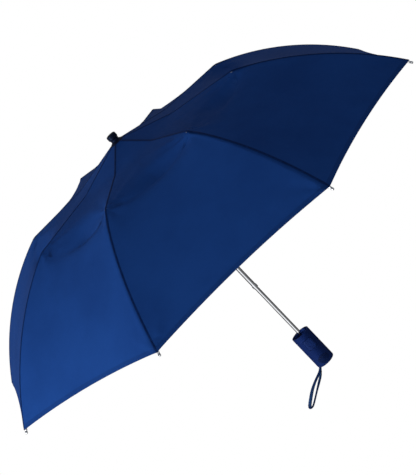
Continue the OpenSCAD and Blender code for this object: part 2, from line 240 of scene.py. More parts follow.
def cloth_material(name, base, deep, thread=0.0):
    """Fine plain-weave pongee: crossed yarns, slubs, and a slow change of tone."""
    n = Nodes(name)
    _, across, along = n.uv("weave")
    _, from_seam, from_hem = n.uv("edge")
    yarn = 2 * math.pi / YARN
    warp = n.math("SINE", n.math("MULTIPLY", across, yarn))
    weft = n.math("SINE", n.math("MULTIPLY", along, yarn))
    weave = n.math("MULTIPLY", warp, weft)
    place = n.place()
    slub = n.noise(place, 900, 2)
    slow = n.noise(place, 7, 4, 0.6)
    grain = n.noise(place, 160, 3)
    tone = n.mix(n.ramp(slow, 0.3, 0.7), base, deep)
    shade = n.math("ADD", n.math("MULTIPLY", weave, 0.10), n.math("MULTIPLY", grain, 0.16))
    tone = n.mix(n.math("ADD", shade, 0.04, clamp=True), tone, n.mix(0.5, tone, NAVY_DARK))
    # cloth lies double at the seams and at the hem, so it shows a little darker there
    fold = n.ramp(from_seam, 0.0016, 0.0030, 0.55, 0.0)
    hem = n.ramp(from_hem, 0.0078, 0.0086, 0.22, 0.0)
    tone = n.mix(n.math("MAXIMUM", fold, hem), tone, NAVY_DARK)
    # hem stitches: short dashes in a line inside the fold
    line = n.math("MULTIPLY", n.ramp(n.math("ABSOLUTE", n.math("SUBTRACT", from_hem, 0.0066)),
                                     0.00025, 0.00045, 1.0, 0.0),
                  n.ramp(n.math("SINE", n.math("MULTIPLY", across, 2 * math.pi / 0.0032)),
                         -0.5, -0.2))
    tone = n.mix(n.math("MULTIPLY", line, 0.7), tone, linear(30, 60, 120))
    # puckers beside the seams
    wave = n.math("ADD", n.math("MULTIPLY", along, 2 * math.pi / 0.011),
                  n.math("MULTIPLY", slow, 14))
    pucker = n.math("MULTIPLY", n.math("SINE", wave), n.ramp(from_seam, 0.002, 0.02, 1.0, 0.0))
    bump = n.bump(pucker, 0.00010, 0.5)
    bump = n.bump(n.math("ADD", weave, n.math("MULTIPLY", slub, 0.8)), 0.00005, 0.35, bump)
    bump = n.bump(line, 0.0002, 0.5, bump)
    rough = n.math("ADD", n.math("MULTIPLY", grain, 0.16), 0.50 + thread)
    n.set(Base_Color=tone, Roughness=rough, Normal=bump, Specular_IOR_Level=0.02,
          Specular_Tint=linear(40, 90, 190), Sheen_Weight=0.04, Sheen_Roughness=0.4,
          Sheen_Tint=linear(50, 110, 220))
    return n.m


def seam_material():
    """Folded seam: darker double cloth with a stitch line down each side."""
    n = Nodes("seam_cloth")
    _, across, along = n.uv("weave")
    yarn = 2 * math.pi / YARN
    weave = n.math("MULTIPLY", n.math("SINE", n.math("MULTIPLY", across, yarn)),
                   n.math("SINE", n.math("MULTIPLY", along, yarn)))
    grain = n.noise(n.place(), 300, 3)
    side = n.math("ABSOLUTE", n.math("SUBTRACT", n.math("ABSOLUTE", across), 0.0011))
    stitch = n.math("MULTIPLY", n.ramp(side, 0.0002, 0.0004, 1.0, 0.0),
                    n.ramp(n.math("SINE", n.math("MULTIPLY", along, 2 * math.pi / 0.0028)),
                           -0.6, -0.2))
    tone = n.mix(n.ramp(grain, 0.3, 0.7), linear(12, 36, 84), linear(8, 25, 62))
    tone = n.mix(n.math("MULTIPLY", stitch, 0.55), tone, linear(24, 48, 100))
    bump = n.bump(weave, 0.00006, 0.4)
    bump = n.bump(stitch, 0.0003, 0.7, bump)
    n.set(Base_Color=tone, Roughness=n.math("ADD", n.math("MULTIPLY", grain, 0.2), 0.5),
          Normal=bump, Specular_IOR_Level=0.1, Specular_Tint=linear(40, 90, 190))
    return n.m


def plastic_material(name, tone, edge, rough):
    """Moulded plastic: faint orange peel, slow change of gloss and sharp edges painted paler in
    patches.
    """
    n = Nodes(name)
    place = n.place()
    peel = n.noise(place, 700, 2)
    slow = n.noise(place, 60, 4, 0.6)
    # sharp edges (high pointiness) are painted paler, in patches
    pale_edge = n.ramp(n.add("NewGeometry").outputs["Pointiness"], 0.52, 0.62)
    pale_edge = n.math("MULTIPLY", pale_edge, n.ramp(slow, 0.35, 0.6))
    base = n.mix(n.ramp(slow, 0.3, 0.75, 0.0, 0.35), tone, edge)
    base = n.mix(n.math("MULTIPLY", pale_edge, 0.5), base, edge)
    n.set(Base_Color=base, Roughness=n.math("ADD", n.math("MULTIPLY", slow, 0.2), rough),
          Normal=n.bump(peel, 0.00002, 0.2), Specular_IOR_Level=0.3,
          Specular_Tint=linear(150, 180, 255))
    return n.m


def rubber_material():
    """Soft-touch rubber: a faint pebbled grain, broad dull gloss, a painted highlight on the sharp
    edges and painted shade in the smoother thumb rest.
    """
    n = Nodes("grip_rubber")
    place = n.place()
    grain = n.noise(place, 1400, 2, 0.6)
    cells = n.add("TexVoronoi")
    n.put(cells.inputs["Vector"], place)
    n.put(cells.inputs["Scale"], 1300)
    slow = n.noise(place, 45, 4, 0.6)
    split = n.add("SeparateXYZ")
    n.put(split.inputs[0], place)
    # the thumb rest is an oval on the front; it is smoother, and painted darker as painted shade
    across = n.math("MULTIPLY", n.math("ABSOLUTE", split.outputs[0]), 1 / 0.0112)
    across = n.math("POWER", across, 2.0)
    up = n.math("ABSOLUTE", n.math("ADD", split.outputs[2], 0.0225))
    up = n.math("POWER", n.math("MULTIPLY", up, 1 / 0.0088), 2.0)
    rest = n.math("MULTIPLY", n.ramp(n.math("ADD", across, up), 0.75, 1.0, 1.0, 0.0),
                  n.ramp(split.outputs[1], -0.012, -0.010, 1.0, 0.0))
    # painted highlight: sharp edges such as the grip's lip are painted paler blue
    edge = n.ramp(n.add("NewGeometry").outputs["Pointiness"], 0.53, 0.60)
    base = n.mix(n.ramp(slow, 0.3, 0.7), linear(19, 39, 96), linear(17, 36, 88))
    base = n.mix(n.math("MULTIPLY", edge, 0.5), base, linear(34, 74, 158))
    # painted shade: the thumb rest is painted darker
    base = n.mix(n.math("MULTIPLY", rest, 0.62), base, linear(8, 17, 44))
    height = n.math("ADD", n.math("MULTIPLY", cells.outputs["Distance"], 0.7), grain)
    height = n.math("MULTIPLY", height, n.math("SUBTRACT", 1.0, rest))
    gloss = n.math("SUBTRACT", n.math("ADD", n.math("MULTIPLY", slow, 0.14), 0.50),
                   n.math("MULTIPLY", rest, 0.14))
    n.set(Base_Color=base, Roughness=gloss, Normal=n.bump(height, 0.00001, 0.1),
          Specular_IOR_Level=0.22, Specular_Tint=linear(120, 165, 255))
    return n.m


def metal_material(name, tone, rough, stretch, spots):
    """Drawn or rolled steel: fine lines along the part, smudges, and dull spots."""
    n = Nodes(name)
    place = n.place()
    lines = n.noise(n.scaled(place, stretch), 900, 2)
    slow = n.noise(place, 30, 4, 0.65)
    dull = n.ramp(n.noise(place, 220, 4, 0.7), 0.62, 0.78)
    base = n.mix(n.math("MULTIPLY", dull, spots), tone, linear(96, 92, 88))
    base = n.mix(n.ramp(lines, 0.35, 0.7, 0.0, 0.25), base, linear(120, 124, 132))
    gloss = n.math("ADD", n.math("MULTIPLY", slow, 0.14), rough)
    gloss = n.math("ADD", gloss, n.math("MULTIPLY", dull, spots * 0.4))
    n.set(Base_Color=base, Metallic=1.0, Roughness=gloss, Normal=n.bump(lines, 0.00003, 0.3))
    return n.m


def cord_material():
    """Braided nylon: glossy strands, with painted shade in the valleys between strands and lighter
    crowns.
    """
    n = Nodes("strap_braid")
    weave, _, _ = n.uv("weave")
    _, crown, _ = n.uv("edge")
    strand = n.noise(n.scaled(weave, (60, 2500, 1)), 1, 2)
    # painted shade: the valleys between strands are painted dark, the crowns lighter
    base = n.mix(n.ramp(crown, 0.15, 0.9), linear(5, 12, 36), linear(12, 30, 78))
    base = n.mix(n.ramp(strand, 0.35, 0.7, 0.0, 0.35), base, linear(22, 52, 120))
    n.set(Base_Color=base, Roughness=0.3, Normal=n.bump(strand, 0.00004, 0.4),
          Specular_IOR_Level=0.6, Specular_Tint=linear(120, 190, 255))
    return n.m


CLOTH = cloth_material("canopy_cloth", NAVY, NAVY_DEEP)
LINING = cloth_material("canopy_pad", linear(12, 34, 90), linear(9, 27, 74), 0.05)
SEAM = seam_material()
FERRULE = plastic_material("ferrule_plastic", linear(4, 9, 24), linear(12, 22, 50), 0.42)
HUB = plastic_material("hub_plastic", linear(16, 18, 24), linear(50, 54, 62), 0.38)
BUTTON = plastic_material("button_plastic", linear(18, 37, 90), linear(28, 66, 146), 0.42)
CUP = plastic_material("cup_plastic", linear(15, 36, 92), linear(30, 66, 140), 0.40)
RUBBER = rubber_material()
CHROME = metal_material("tube_chrome", linear(222, 224, 228), 0.06, (1, 1, 0.02), 0.10)
RIB_STEEL = metal_material("rib_zinc", linear(150, 152, 158), 0.28, (0.2, 0.2, 0.2), 0.5)
SPRING = metal_material("spring_steel", linear(120, 122, 128), 0.3, (1, 1, 1), 0.6)
BRAID = cord_material()

# ---------- meshes ----------


def new_object(name, mesh, *materials):
    for m in materials:
        mesh.materials.append(m)
    piece = bpy.data.objects.new(name, mesh)
    bpy.context.scene.collection.objects.link(piece)
    return piece


def seam(s):
    """Seam line over a rib as (radius, height): s is 0 at the crown, 1 at the crossing, 2 at the
    elbow and 3 at the corner."""
    s = np.asarray(s, float)[..., None]
    inner = SEAM_START + (SEAM_CROSSING - SEAM_START) * s
    middle = SEAM_CROSSING + (SEAM_ELBOW - SEAM_CROSSING) * (s - 1)
    start = ARC_TILT + math.pi / 2 + ARC_HALF
    angle = start - 2 * ARC_HALF * (s - 2)
    arc = SEAM_ELBOW + ARC_R * (
        np.concatenate([np.cos(angle), np.sin(angle)], -1)
        - np.array([math.cos(start), math.sin(start)])
    )
    return np.where(s <= 1, inner, np.where(s <= 2, middle, arc))


def profile(s, soft):
    """The seam line with its corners rounded over soft each way, which fades out at both ends."""
    def fade(x):
        x = np.clip(x / 0.6, 0, 1)
        return x * x * (3 - 2 * x)

    reach = soft * fade(s) * fade(3 - s)
    steps = np.linspace(-1, 1, 11)
    return sum(seam(s + reach * w) for w in steps) / len(steps)


def half_width(s):
    """Half a gore's width at s, straight across from rib to rib."""
    return profile(s, SOFT)[..., 0] * math.sin(PITCH / 2)


def smooth(x, low, high):
    t = np.clip((x - low) / (high - low), 0, 1)
    return t * t * (3 - 2 * t)


SEAM_STEPS = np.linspace(0, 3, 601)
SEAM_LINE = seam(SEAM_STEPS)
SEAM_RUN = np.concatenate(
    [[0], np.cumsum(np.linalg.norm(np.diff(SEAM_LINE, axis=0), axis=1))]
)


def run_at(s):
    return np.interp(s, SEAM_STEPS, SEAM_RUN)


def gore_point(angle, s, v):
    """Base surface of the gore that starts at the rib at angle, before the cloth's own give."""
    belly = 4 * v * (1 - v)
    pull = np.clip(s - 2, 0, None) * HEM_DIP / CHORD * belly
    p = profile(s - pull, SOFT + SOFT_MIDDLE * belly)
    a = np.stack([np.cos(angle) * p[..., 0], np.sin(angle) * p[..., 0], p[..., 1]], -1)
    b = np.stack(
        [np.cos(angle + PITCH) * p[..., 0], np.sin(angle + PITCH) * p[..., 0], p[..., 1]], -1
    )
    return a + (b - a) * v[..., None]


def gore_normal(angle, s, v, place=gore_point):
    e = 1e-3
    low_s, high_s = np.clip(s - e, 0.001, 3), np.clip(s + e, 0.002, 3)
    low_v, high_v = np.clip(v - e, 0, 1), np.clip(v + e, 0, 1)
    ds = place(angle, high_s, v) - place(angle, low_s, v)
    dv = place(angle, s, high_v) - place(angle, s, low_v)
    n = np.cross(ds, dv)
    n /= np.linalg.norm(n, axis=-1, keepdims=True) + 1e-12
    return n


def give(angle, s, v):
    """How far the stretched cloth lies off the base surface: hollow between the ribs, with faint
    tension folds that run out from each elbow and each corner."""
    belly = 4 * v * (1 - v)
    hollow = -GORE_HOLLOW * belly * smooth(s, 0.8, 2.2) * (1 - 0.5 * smooth(s, 2.6, 3.0))
    # the cloth sinks a little more along the line from elbow to elbow, nearer to one of them
    spread = np.where(s < 2.05, 0.22, 0.080)
    trough = belly**0.7 * np.exp(-(((s - 2.02) / spread) ** 2))
    hollow = hollow - ELBOW_TROUGH * trough * (0.35 + 0.65 * smooth(v, 0.25, 0.62))
    width = 2 * half_width(s)
    along = run_at(s)
    phase = round(angle / PITCH) * 1.7
    folds = 0
    for edge, across in ((0, v * width), (1, (1 - v) * width)):
        for knot, far, count, height in ((2.0, 0.075, 9, 0.0006), (3.0, 0.06, 7, 0.0007)):
            dy = along - run_at(np.array(knot))
            d = np.hypot(across, dy)
            bearing = np.arctan2(dy, across)
            folds = folds + height * np.sin(count * bearing + phase + edge * 0.9) * smooth(
                across, 0.002, 0.014) * np.exp(-((d / far) ** 2))
    return hollow + folds


def gore(angle, s, v):
    return gore_point(angle, s, v) + gore_normal(angle, s, v) * give(angle, s, v)[..., None]


def cloth(k, s, u):
    """Point and normal of the canopy beside rib k: u is 0 on the rib, 1 half way to the next rib
    and -1 half way to the one before."""
    s, u = np.broadcast_arrays(np.asarray(s, float), np.asarray(u, float))
    angle = rib_angle(k)
    ahead, behind = u / 2, 1 + u / 2
    p = np.where((u >= 0)[..., None], gore(angle, s, np.clip(ahead, 0, 1)),
                 gore(angle - PITCH, s, np.clip(behind, 0, 1)))
    n = np.where((u >= 0)[..., None],
                 gore_normal(angle, s, np.clip(ahead, 0, 1), gore),
                 gore_normal(angle - PITCH, s, np.clip(behind, 0, 1), gore))
    return p, n


def cloth_uv(s, u, side):
    """Weave coordinates of a gore, in metres from its middle line and from the crown."""
    width = 2 * half_width(s)
    return (u / 2 - 0.5 * side) * width, run_at(s), np.abs(u) / 2 * width


def hem_gap(s):
    """Distance from the hem, measured up the cloth."""
    return run_at(np.array(3.0)) - run_at(s)


class Builder:
    """Collects vertices and faces with their own normals and two UV maps, then makes a mesh."""

    def __init__(self):
        self.points, self.faces, self.slots = [], [], []
        self.normals, self.uv, self.edge = [], [], []

    def vertices(self, points):
        base = len(self.points)
        self.points.extend(map(tuple, points))
        return base

    def face(self, corners, normals, uv, edge, slot=0):
        self.faces.append(corners)
        self.normals.extend(normals)
        self.uv.extend(uv)
        self.edge.extend(edge)
        self.slots.append(slot)

    def sheet(self, p, n, uv_of, thickness, slot=0, lift=0.0):
        """A thin closed sheet from a grid of points with normals. uv_of(column) gives the two UV
        grids that the cells from that column to the next use."""
        rows, cols = p.shape[:2]
        top = p + n * lift
        outer = self.vertices(top.reshape(-1, 3))
        inner = self.vertices((top - n * thickness).reshape(-1, 3))
        grids = [uv_of(j) for j in range(cols - 1)]
        for i in range(rows - 1):
            for j in range(cols - 1):
                cell = [(i, j), (i + 1, j), (i + 1, j + 1), (i, j + 1)]
                ids = [a * cols + b for a, b in cell]
                weave, edge = grids[j]
                uv = [weave[c] for c in cell]
                ed = [edge[c] for c in cell]
                nn = [n[c] for c in cell]
                self.face([outer + x for x in ids], nn, uv, ed, slot)
                self.face([inner + x for x in ids[::-1]], [-x for x in nn[::-1]],
                          uv[::-1], ed[::-1], slot)
        rim = (
            [((i, 0), (i + 1, 0)) for i in range(rows - 1)]
            + [((rows - 1, j), (rows - 1, j + 1)) for j in range(cols - 1)]
            + [((i + 1, cols - 1), (i, cols - 1)) for i in range(rows - 2, -1, -1)]
            + [((0, j + 1), (0, j)) for j in range(cols - 2, -1, -1)]
        )
        middle = top.reshape(-1, 3).mean(0)
        for a, b in rim:
            weave, edge = grids[min(min(a[1], b[1]), cols - 2)]
            out = np.cross(top[b] - top[a], n[a])
            size = np.linalg.norm(out)
            out = out / size if size > 1e-9 else n[a]
            if np.dot(out, top[a] - middle) < 0:
                out = -out
            i, j = a[0] * cols + a[1], b[0] * cols + b[1]
            self.face([outer + j, outer + i, inner + i, inner + j], [out] * 4,
                      [weave[b], weave[a], weave[a], weave[b]],
                      [edge[b], edge[a], edge[a], edge[b]], slot)

    def mesh(self, name):
        mesh = bpy.data.meshes.new(name)
        mesh.from_pydata(self.points, [], self.faces)
        weave = mesh.uv_layers.new(name="weave")
        edge = mesh.uv_layers.new(name="edge")
        weave.data.foreach_set("uv", np.array(self.uv, np.float32).ravel())
        edge.data.foreach_set("uv", np.array(self.edge, np.float32).ravel())
        mesh.polygons.foreach_set("material_index", self.slots)
        mesh.polygons.foreach_set("use_smooth", [True] * len(self.faces))
        mesh.update()
        mesh.normals_split_custom_set(np.array(self.normals, float))
        return mesh


def grid_area(p):
    """Area of a grid of points."""
    a, b = p[1:, :-1] - p[:-1, :-1], p[:-1, 1:] - p[:-1, :-1]
    c, d = p[1:, :-1] - p[1:, 1:], p[:-1, 1:] - p[1:, 1:]
    low, high = (np.linalg.norm(np.cross(*pair), axis=-1) for pair in ((a, b), (c, d)))
    return float((low + high).sum() / 2)


def add_cloth(build, k, s, u):
    """Adds the canopy's sheet beside rib k, over grids of s and u. Returns its flat measures."""
    p, n = cloth(k, s, u)
    middle = np.abs(u) < 1e-9
    if middle.any() and (u < 0).any() and (u > 0).any():
        left = cloth(k, s, np.where(middle, -1e-6, u))[1]
        n = np.where(middle[..., None], n + left, n)
        n /= np.linalg.norm(n, axis=-1, keepdims=True)

    def uv_of(j):
        side = 1 if (u[0, j] + u[0, j + 1]) > 0 else -1
        x, y, near = cloth_uv(s, u, side)
        return np.stack([x, y], -1), np.stack([near, hem_gap(s)], -1)

    build.sheet(p, n, uv_of, CLOTH_T)
    width = float(np.linalg.norm(np.diff(p, axis=1), axis=-1).sum(1).max())
    length = float(np.linalg.norm(np.diff(p, axis=0), axis=-1).sum(0).max())
    return width, length, grid_area(p)


def add_seam(build, k, s_values, slot=1):
    """Adds the raised, folded seam over rib k."""
    offsets = np.array([-1, -0.8, -0.45, -0.12, 0, 0.12, 0.45, 0.8, 1]) * SEAM_HALF
    rise = np.array([0.12, 0.42, 0.55, 0.5, 0.42, 0.5, 0.55, 0.42, 0.12]) * MM
    s = np.asarray(s_values)[:, None] * np.ones(len(offsets))
    width = half_width(s)
    u = np.clip(offsets / width, -0.5, 0.5)
    p, n = cloth(k, s, np.where(np.abs(u) < 1e-9, 1e-9, u))
    up = n[:, 0] + n[:, -1]
    up /= np.linalg.norm(up, axis=-1, keepdims=True)
    side = np.array([-math.sin(rib_angle(k)), math.cos(rib_angle(k)), 0])
    lean = np.array([-0.8, -0.5, -0.15, 0.05, 0, -0.05, 0.15, 0.5, 0.8])
    nn = up[:, None, :] + side * lean[None, :, None]
    nn /= np.linalg.norm(nn, axis=-1, keepdims=True)
    top = p + up[:, None, :] * rise[None, :, None]
    along = run_at(s)
    weave = np.stack([offsets * np.ones_like(s), along], -1)
    build.sheet(top, nn, lambda j: (weave, weave * 0 + 1), 0.0006, slot)


def finish_cloth(build, name, materials):
    piece = new_object(name, build.mesh(name), *materials)
    return piece


def elbow_line(u):
    """Where the cloth over the stretchers gives way to the cloth over the outer ribs."""
    a = np.abs(u)
    return 2 + FOLD * (1 - (1 - a) ** 2)


def crown_cloth(k, u):
    """Cloth at the crown, by the shaft."""
    build = Builder()
    s, uu = np.meshgrid(np.linspace(0, CROWN_END, 12), u, indexing="ij")
    measure = add_cloth(build, k, s, uu)
    add_seam(build, k, np.linspace(0.06, CROWN_END, 14))
    crown = finish_cloth(build, f"canopy_crown_{k}", (CLOTH, SEAM))
    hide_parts(f"canopy_panel_{k}")
    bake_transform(crown)


def span_cloth(k, u, name, low, high, rows, arm):
    """Cloth over a top rib or a stretcher, which moves with that arm. With no high end it
    runs to the elbow line."""
    build = Builder()
    t, uu = np.meshgrid(np.linspace(0, 1, rows), u, indexing="ij")
    top = elbow_line(uu) if high is None else high
    measure = add_cloth(build, k, low + (top - low) * t, uu)
    add_seam(build, k, np.linspace(low, high or 2.0, rows * 2))
    piece = finish_cloth(build, f"canopy_{name}_{k}", (CLOTH, SEAM))
    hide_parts(f"canopy_panel_{k}")
    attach(piece, f"{arm}_arm_{k}")
    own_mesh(piece)


def add_hem(build, k, u, side):
    """Adds the hem's fold under the cloth."""
    t, u = np.meshgrid(np.linspace(0, 1, 4), u, indexing="ij")
    s = 3 - 0.027 * (1 - t)
    p, n = cloth(k, s, u)
    across, along, near = cloth_uv(s, u, side)
    weave = np.stack([across, along], -1)
    edge = np.stack([near, hem_gap(s)], -1)
    build.sheet(p, n, lambda j: (weave, edge), 0.0004, 0, -CLOTH_T * 0.9)


def outer_cloths(k):
    """Cloth over an outer rib, in two halves that move with the rib. The seam strip covers
    their join."""
    build = Builder()
    add_seam(build, k, np.linspace(2.0, 3.0, 90), 0)
    strip = new_object(f"canopy_seam_{k}", build.mesh(f"canopy_seam_{k}"), SEAM)
    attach(strip, f"outer_rib_arm_{k}")
    for word, sign in (("a", -1), ("b", 1)):
        build = Builder()
        u = np.linspace(0, 1, 17) if sign > 0 else -np.linspace(1, 0, 17)
        t, uu = np.meshgrid(np.linspace(0, 1, 44), u, indexing="ij")
        measure = add_cloth(build, k, elbow_line(uu) + (3 - elbow_line(uu)) * t, uu)
        add_hem(build, k, u, sign)
        piece = finish_cloth(build, f"canopy_outer_{k}{word}", (CLOTH,))
        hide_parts(f"canopy_panel_{k}")
        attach(piece, f"outer_rib_arm_{k}")
        before = np.array([EDGE_OPEN[0], EDGE_OPEN[1] * sign])
        after = np.array([EDGE_FOLDED[0], EDGE_FOLDED[1] * sign])
        move = before - after
        move /= np.linalg.norm(move)
        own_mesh(piece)


def elbow_patch(k):
    """Patch under the elbow, which bridges the fold between the two cloths."""
    build = Builder()
    t, uu = np.meshgrid(np.linspace(0, 1, 13), np.linspace(-1, 1, 9), indexing="ij")
    s = 2 - 0.11 + t * 0.16
    reach = PATCH_W / 2 * np.sqrt(np.clip(1 - (2 * t - 1) ** 4, 0.05, 1))
    width = half_width(s)
    uu = uu * reach / width
    p, n = cloth(k, s, np.where(np.abs(uu) < 1e-9, 1e-9, uu))
    weave = np.stack([uu * width, run_at(s)], -1)
    build.sheet(p, n, lambda j: (weave, weave * 0 + 1), 0.0004, 0, -CLOTH_T - 0.0001)
    pad = new_object(f"elbow_patch_{k}", build.mesh(f"elbow_patch_{k}"), LINING)
    grid_area(p)
    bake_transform(pad)


def build_canopy():
    u = np.linspace(-1, 1, 19)
    u = np.sign(u) * np.abs(u) ** 1.15
    for k in range(1, RIBS + 1):
        crown_cloth(k, u)
        span_cloth(k, u, "inner", CROWN_END, 1.0, 12, "top_rib")
        span_cloth(k, u, "middle", 1.0, None, 20, "stretcher")
        outer_cloths(k)
        elbow_patch(k)


def lathe(name, outline, segments, *materials, place=None, ripple=None):
    """A closed turned shape from (radius, height) points that start and end on the axis."""
    bm = bmesh.new()
    rings = []
    for r, z in outline:
        if r < 1e-7:
            rings.append([bm.verts.new((0, 0, z))])
            continue
        ring = []
        for i in range(segments):
            a = 2 * math.pi * i / segments
            rr = r + (ripple(a, r, z) if ripple else 0)
            ring.append(bm.verts.new((rr * math.cos(a), rr * math.sin(a), z)))
        rings.append(ring)
    for low, high in zip(rings, rings[1:]):
        for i in range(segments):
            j = (i + 1) % segments
            below = [low[i % len(low)], low[j % len(low)]]
            above = [high[j % len(high)], high[i % len(high)]]
            corners = list(dict.fromkeys(below + above))
            if len(corners) > 2:
                bm.faces.new(corners)
    bmesh.ops.recalc_face_normals(bm, faces=bm.faces)
    mesh = bpy.data.meshes.new(name)
    bm.to_mesh(mesh)
    bm.free()
    if place is not None:
        mesh.transform(place)
    mesh.shade_smooth()
    mesh.set_sharp_from_angle(angle=math.radians(38))
    return new_object(name, mesh, *materials)


def rounded(points, radius, steps=4):
    """Rounds the inner corners of a list of (r, z) points."""
    out = [points[0]]
    for a, b, c in zip(points, points[1:], points[2:]):
        a, b, c = map(np.array, (a, b, c))
        reach = min(radius, 0.45 * np.linalg.norm(a - b), 0.45 * np.linalg.norm(c - b))
        p = b + (a - b) / max(np.linalg.norm(a - b), 1e-9) * reach
        q = b + (c - b) / max(np.linalg.norm(c - b), 1e-9) * reach
        for t in np.linspace(0, 1, steps):
            out.append(tuple((1 - t) ** 2 * p + 2 * t * (1 - t) * b + t * t * q))
    out.append(points[-1])
    return out


def build_ferrule():
    """Ferrule cap on the crown, and the rippled flange that clamps the cloth under it."""
    base = CROWN_Z + 0.0016
    outline = [(r * MM, base + z * MM) for r, z in (
        (0, -0.6), (7.4, -0.6), (7.6, 0.6), (7.5, 1.4), (7.9, 3.4), (8.7, 4.0), (9, 4.8),
        (9, 7.4), (8.8, 7.55), (8.8, 7.85), (9, 8.0), (9, 10.6), (8.6, 11.5), (7.6, 12.3),
        (6, 12.75), (3, 12.95), (0, 13))]
    cap = lathe("ferrule_detail", rounded(outline, 0.0005), 96, FERRULE)
    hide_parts("ferrule_cap")
    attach(cap, "upper_shaft")
    # (radius, height over the crown) before the flange's slope is taken off
    ring = [(4.1, 0.2), (13.6, 0.3), (14.1, 0.6), (13.6, 1.0), (8.4, 1.4), (7.2, 1.6), (4.1, 1.2),
            (4.1, 0.2)]
    drop = [0, 13.6, 14, 13.6, 4, 0, 0, 0]
    ring = [(r * MM, CROWN_Z + (z - CROWN_SLOPE * d) * MM) for (r, z), d in zip(ring, drop)]
    washer = lathe("ferrule_flange", rounded(ring, 0.0003), 96, FERRULE,
                   ripple=lambda a, r, z: 0.00012 * math.cos(24 * a) if r > 0.012 else 0)
    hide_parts("ferrule_washer")
    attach(washer, "upper_shaft")


def rounded_square(x, z, w, h, r):
    """Distance outside a rounded rectangle, in the face plane; negative inside."""
    dx, dz = abs(x) - (w / 2 - r), abs(z) - (h / 2 - r)
    return math.hypot(max(dx, 0), max(dz, 0)) + min(max(dx, dz), 0) - r


def bell(x, half):
    t = min(abs(x) / half, 1)
    return (1 - t * t) ** 2


def step_in(x, low, high):
    t = min(max((x - low) / (high - low), 0), 1)
    return t * t * (3 - 2 * t)


def rounded_ring(w, h, r, per_corner, endpoint=True):
    """(x, z) points round a rounded rectangle, with per_corner of them on each corner."""
    ring = []
    for cx, cz, start in ((1, 1, 0), (-1, 1, 90), (-1, -1, 180), (1, -1, 270)):
        for a in np.linspace(start, start + 90, per_corner, endpoint=endpoint):
            a = math.radians(a)
            ring.append((cx * (w / 2 - r) + r * math.cos(a), cz * (h / 2 - r) + r * math.sin(a)))
    return ring


def prism(w, h, r, depth, place):
    """A cutter: a rounded rectangle that runs from depth[0] to depth[1] towards -Y."""
    bm = bmesh.new()
    face = bm.faces.new([bm.verts.new((x, -depth[0], z)) for x, z in rounded_ring(w, h, r, 8)])
    moved = bmesh.ops.extrude_face_region(bm, geom=[face])["geom"]
    for v in moved:
        if isinstance(v, bmesh.types.BMVert):
            v.co.y = -depth[1]
    bmesh.ops.recalc_face_normals(bm, faces=bm.faces)
    mesh = bpy.data.meshes.new("cutter")
    bm.to_mesh(mesh)
    bm.free()
    mesh.transform(place)
    return new_object("cutter", mesh)


def grip_relief(x, z, front):
    """Height of the grip's face over its round body: a raised frame and a thumb hollow."""
    if not front:
        return 0.0
    frame_gap = rounded_square(x, z - 3.5 * MM, 28 * MM, 42 * MM, 5 * MM)
    height = 0.00055 * bell(frame_gap, 0.0012)
    height += 0.00018 * (1 - step_in(frame_gap, -0.0006, 0.0004))
    seat = rounded_square(x, z - BUTTON_Z, 18.4 * MM, 21.4 * MM, 4.4 * MM)
    height -= 0.00030 * (1 - step_in(seat, 0.0002, 0.0016))
    thumb = math.hypot(x / 0.0118, (z + 0.0225) / 0.0092)
    height -= 0.0011 * (1 - step_in(thumb, 0.35, 1.0))
    height += 0.00022 * bell(thumb - 1.03, 0.07)
    return height


def grip_outline():
    """Half section of the grip's shell: round foot, straight side, crisp lip and open inside."""
    foot_round, lip_round, inner, foot_hole, floor = 0.0035, 0.0008, 0.0159, 0.011, 0.003
    outline = []
    for a in np.radians(np.linspace(-90, 0, 10)):
        outline.append((GRIP_R - foot_round + foot_round * math.cos(a),
                        -GRIP_TOP + foot_round + foot_round * math.sin(a)))
    outline += [(GRIP_R, z) for z in np.linspace(-GRIP_TOP + 0.0040, GRIP_TOP - 0.0014, 150)]
    for a in np.radians(np.linspace(0, 90, 6)):
        outline.append((GRIP_R - lip_round + lip_round * math.cos(a),
                        GRIP_TOP - lip_round + lip_round * math.sin(a)))
    return outline + [(inner, GRIP_TOP), (inner, -GRIP_TOP + floor),
                      (foot_hole, -GRIP_TOP + floor), (foot_hole, -GRIP_TOP)]


def build_grip():
    """Grip shell, cut for the button and for the strap."""
    segments = 288
    bm = bmesh.new()
    rings = []
    for r, z in grip_outline():
        ring = []
        for i in range(segments):
            a = 2 * math.pi * i / segments
            x = r * math.cos(a)
            rr = r
            if r > GRIP_R - 1e-5:
                rr += grip_relief(x, z, math.sin(a) < 0)
            ring.append(bm.verts.new((rr * math.cos(a), rr * math.sin(a), z)))
        rings.append(ring)
    rings.append(rings[0])
    for low, high in zip(rings, rings[1:]):
        for i in range(segments):
            j = (i + 1) % segments
            bm.faces.new([low[i], low[j], high[j], high[i]])
    bmesh.ops.recalc_face_normals(bm, faces=bm.faces)
    mesh = bpy.data.meshes.new("grip_body")
    bm.to_mesh(mesh)
    bm.free()
    grip = new_object("grip_body", mesh, RUBBER)

    cutters = [
        prism(17.6 * MM, 20.9 * MM, 4.1 * MM, (0.012, 0.03),
              Matrix.Translation((0, 0, BUTTON_Z - 0.0002))),
        prism(10 * MM, 5.2 * MM, 2.0 * MM, (0.0, 0.024),
              Matrix.Translation((-0.009, 0, -0.0275)) @ Matrix.Rotation(math.radians(-45), 4, "Y")
              @ Matrix.Rotation(math.radians(-90), 4, "Z")),
    ]
    for cutter in cutters:
        cut = grip.modifiers.new("cut", "BOOLEAN")
        cut.operation, cut.solver, cut.object = "DIFFERENCE", "EXACT", cutter
    graph = bpy.context.evaluated_depsgraph_get()
    cut_mesh = bpy.data.meshes.new_from_object(grip.evaluated_get(graph))
    grip.modifiers.clear()
    for cutter in cutters:
        bpy.data.objects.remove(cutter)
    grip.data = cut_mesh
    cut_mesh.materials.clear()
    cut_mesh.materials.append(RUBBER)
    cut_mesh.shade_smooth()
    cut_mesh.set_sharp_from_angle(angle=math.radians(32))
    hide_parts("grip_shell")
    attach(grip, "handle")


